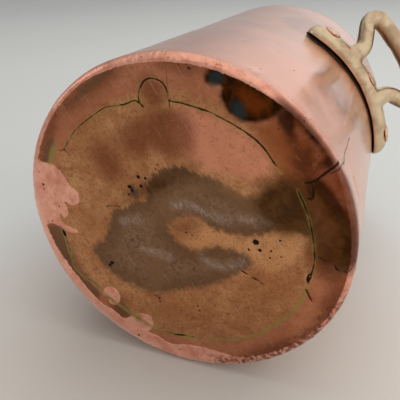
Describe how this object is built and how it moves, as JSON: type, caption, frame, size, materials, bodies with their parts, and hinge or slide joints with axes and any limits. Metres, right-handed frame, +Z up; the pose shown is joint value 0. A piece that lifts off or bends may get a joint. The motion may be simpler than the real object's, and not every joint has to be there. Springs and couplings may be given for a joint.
{
  "type": "copper stock pot",
  "caption": "Tall straight-sided copper cooking pot with a flat brazed base, a tinned inside and riveted brass loop handles.",
  "frame": {"origin": "middle of the underside of the base", "axes": "+Z up along the body's axis from base to rim, +X through the middle of the handle over the side seam"},
  "size_m": [0.3226, 0.23, 0.309],
  "materials": {
    "copper": "polished pink copper, softly scratched",
    "burnt_copper": "fire-stained brown copper with grey soot",
    "braze": "dull olive brazing brass",
    "tin": "wiped tin, grey and soft",
    "cast_brass": "hand-worn cast brass with brown patina in the hollows"
  },
  "bodies": {
    "root": {"wall_sheet": "copper", "base_disc": "burnt_copper", "base_seam": "braze", "side_seam": "braze", "tin_lining": "tin", "handle_right": "cast_brass", "handle_left": "cast_brass", "rivet_right_1": "copper", "rivet_right_2": "copper", "rivet_right_3": "copper", "rivet_left_1": "copper", "rivet_left_2": "copper", "rivet_left_3": "copper"}
  },
  "joints": []
}
